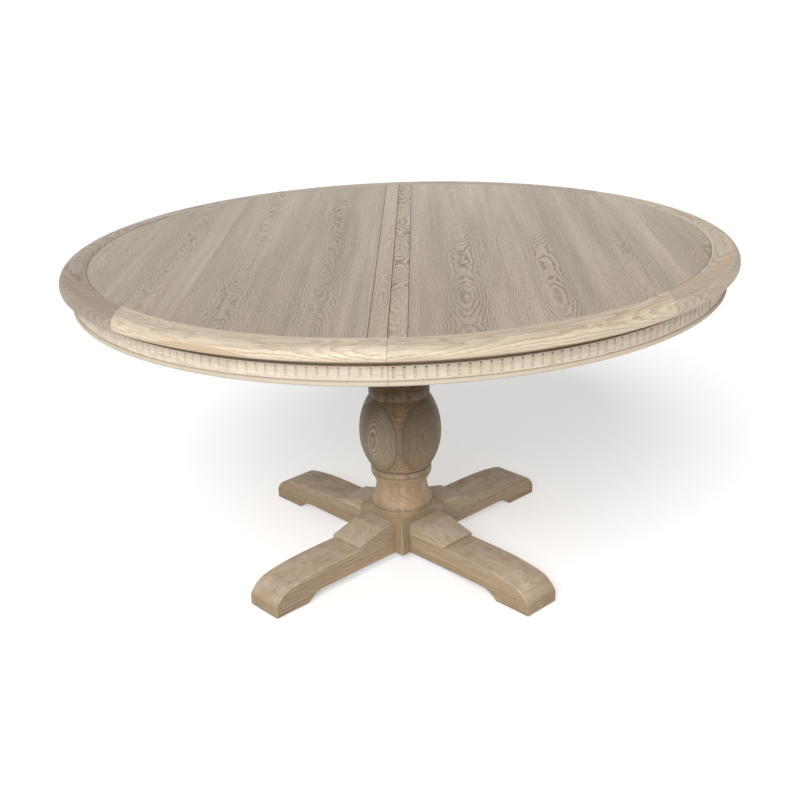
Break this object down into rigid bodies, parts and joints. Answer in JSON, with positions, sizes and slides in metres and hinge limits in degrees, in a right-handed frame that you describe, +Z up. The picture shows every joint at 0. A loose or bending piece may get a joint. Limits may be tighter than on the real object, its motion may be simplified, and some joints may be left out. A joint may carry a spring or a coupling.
{
  "type": "round pedestal table",
  "caption": "Round dining table on a turned central pedestal with a cross of low feet; the top is split and draws apart on geared slides for a leaf.",
  "frame": {"origin": "on the floor under the axis of the column", "axes": "+Z up; the seam of the top lies along Y; the halves draw apart along X"},
  "size_m": [1.5, 1.5, 0.778],
  "materials": {
    "top_veneer": "limed oak veneer, matt lacquer",
    "seam_oak": "solid limed oak, matt lacquer",
    "rim_oak": "solid limed oak, matt lacquer",
    "apron_oak": "whitewashed oak with carved grooves",
    "column_oak": "weathered oak, matt",
    "leg_oak": "weathered oak, matt",
    "beech": "plain waxed hardwood",
    "plywood": "unfinished plywood",
    "steel": "zinc plated",
    "nylon": "natural nylon",
    "felt": "pressed felt"
  },
  "bodies": {
    "pedestal": {"centre_rail_back": "beech", "centre_rail_front": "beech", "column": "column_oak", "felt_pad_back_left": "felt", "felt_pad_back_right": "felt", "felt_pad_front_left": "felt", "felt_pad_front_right": "felt", "gear_pin_back": "steel", "gear_pin_front": "steel", "leg_back_left": "leg_oak", "leg_back_right": "leg_oak", "leg_cross_plate": "steel", "leg_front_left": "leg_oak", "leg_front_right": "leg_oak", "plate_bolt_back": "steel", "plate_bolt_front": "steel", "plate_bolt_left": "steel", "plate_bolt_right": "steel", "saddle_back_left": "leg_oak", "saddle_back_right": "leg_oak", "saddle_front_left": "leg_oak", "saddle_front_right": "leg_oak", "top_plate": "plywood"},
    "left_half": {"left_apron_back": "apron_oak", "left_apron_front": "apron_oak", "left_apron_side": "apron_oak", "left_field": "top_veneer", "left_rack_back": "nylon", "left_rack_front": "nylon", "left_rim_back": "rim_oak", "left_rim_front": "rim_oak", "left_rim_side": "rim_oak", "left_runner_back": "beech", "left_runner_front": "beech", "left_seam_strip": "seam_oak", "lock_plate_back": "steel", "lock_plate_front": "steel", "seam_dowel_1": "beech", "seam_dowel_2": "beech", "seam_dowel_3": "beech", "seam_dowel_4": "beech"},
    "right_half": {"lock_keeper_back": "steel", "lock_keeper_front": "steel", "right_apron_back": "apron_oak", "right_apron_front": "apron_oak", "right_apron_side": "apron_oak", "right_field": "top_veneer", "right_rack_back": "nylon", "right_rack_front": "nylon", "right_rim_back": "rim_oak", "right_rim_front": "rim_oak", "right_rim_side": "rim_oak", "right_runner_back": "beech", "right_runner_front": "beech", "right_seam_strip": "seam_oak"},
    "pinion_front": {"pinion_front": "nylon"},
    "pinion_back": {"pinion_back": "nylon"},
    "lock_lever_front": {"lock_lever_front": "steel"},
    "lock_lever_back": {"lock_lever_back": "steel"}
  },
  "joints": [
    {"name": "left_slide", "type": "slide", "parent": "pedestal", "child": "left_half", "axis": [-1, 0, 0], "range_m": [0, 0.25]},
    {"name": "right_slide", "type": "slide", "parent": "pedestal", "child": "right_half", "axis": [1, 0, 0], "range_m": [0, 0.25]},
    {"name": "pinion_front_spin", "type": "hinge", "parent": "pedestal", "child": "pinion_front", "pos_m": [0, -0.19, 0.7345], "axis": [0, 0, -1], "range_deg": [0, 796]},
    {"name": "pinion_back_spin", "type": "hinge", "parent": "pedestal", "child": "pinion_back", "pos_m": [0, 0.19, 0.7345], "axis": [0, 0, 1], "range_deg": [0, 796]},
    {"name": "lock_front_swing", "type": "hinge", "parent": "left_half", "child": "lock_lever_front", "pos_m": [-0.022, -0.42, 0.74825], "axis": [0, 0, 1], "range_deg": [0, 90]},
    {"name": "lock_back_swing", "type": "hinge", "parent": "left_half", "child": "lock_lever_back", "pos_m": [-0.022, 0.42, 0.74825], "axis": [0, 0, -1], "range_deg": [0, 90]}
  ],
  "couplings": [
    {"joint": "right_slide", "follows": "left_slide", "ratio": 1},
    {"joint": "pinion_front_spin", "follows": "left_slide", "rad_per_m": 55.556},
    {"joint": "pinion_back_spin", "follows": "left_slide", "rad_per_m": 55.556}
  ]
}
